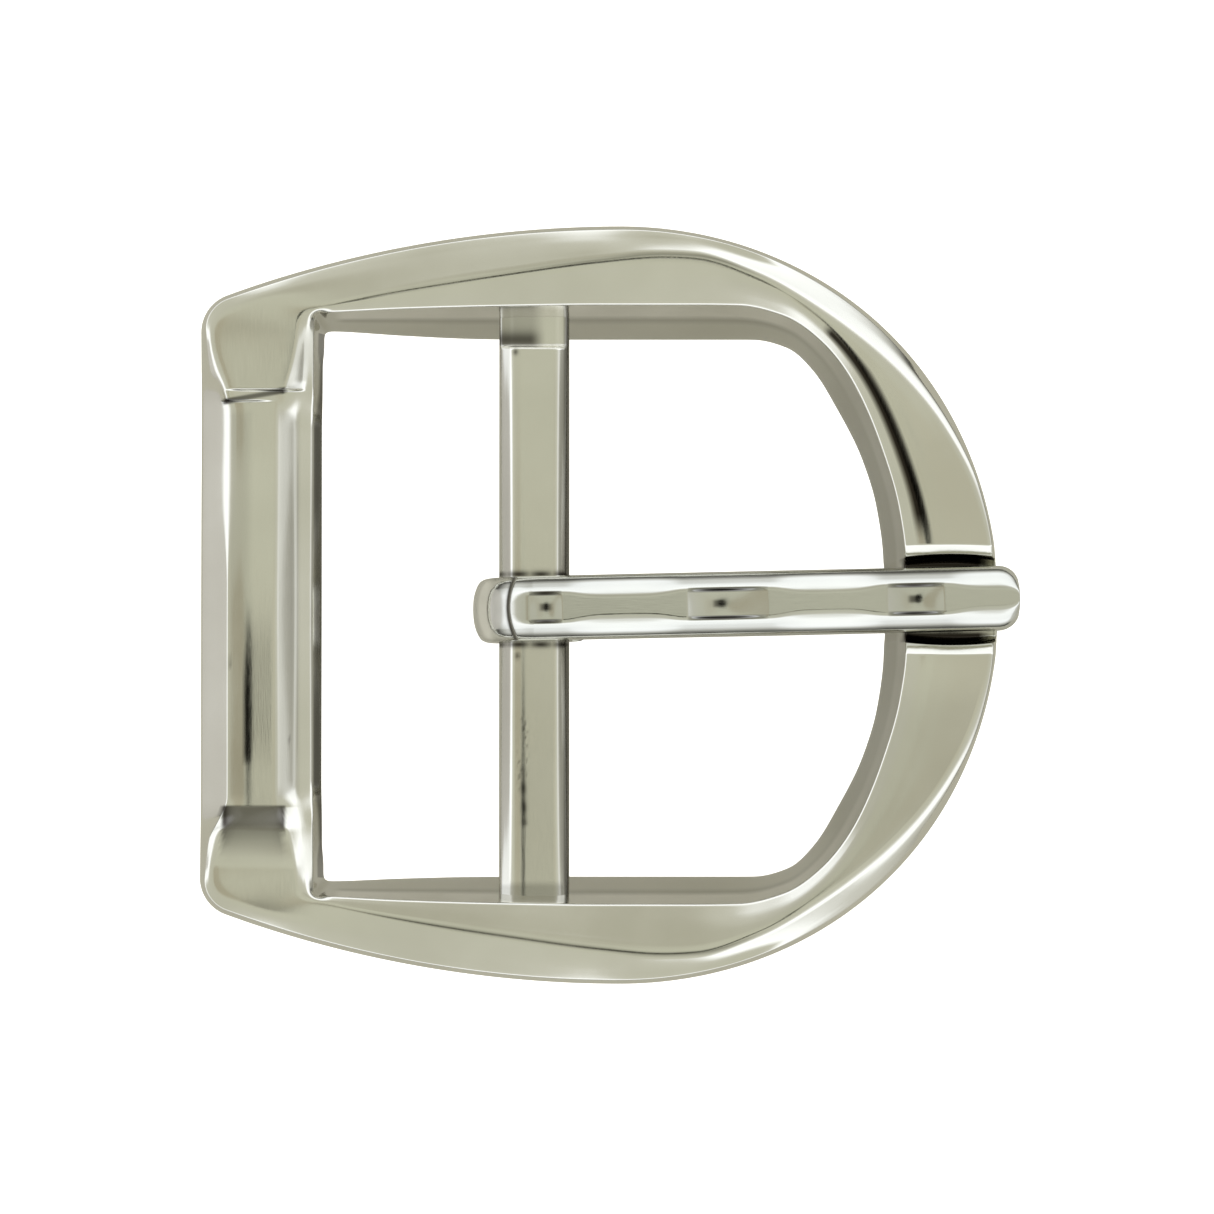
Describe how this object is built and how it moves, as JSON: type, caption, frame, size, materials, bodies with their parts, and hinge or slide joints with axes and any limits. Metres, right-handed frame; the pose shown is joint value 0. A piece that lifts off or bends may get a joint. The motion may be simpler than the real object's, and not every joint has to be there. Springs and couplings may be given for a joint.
{
  "type": "belt buckle",
  "caption": "Centre-bar pin buckle for a 35 mm dress belt: bevelled D-shaped frame, raised keeper bar, flat centre bar and a hinged prong resting in a notch.",
  "frame": {"origin": "centre of the centre bar, on the prong's axis", "axes": "+X from the keeper bar towards the prong tip, +Y along the centre bar, +Z out of the front face"},
  "size_m": [0.0546, 0.0506, 0.0084],
  "materials": {
    "nickel_frame": "polished",
    "nickel_bar": "polished",
    "nickel_prong": "polished"
  },
  "bodies": {
    "buckle": {"frame": "nickel_frame", "centre_bar": "nickel_bar"},
    "prong": {"prong": "nickel_prong"}
  },
  "joints": [
    {"name": "prong_swing", "type": "hinge", "parent": "buckle", "child": "prong", "pos_m": [0, 0, 0], "axis": [0, -1, 0], "range_deg": [0, 155]}
  ]
}
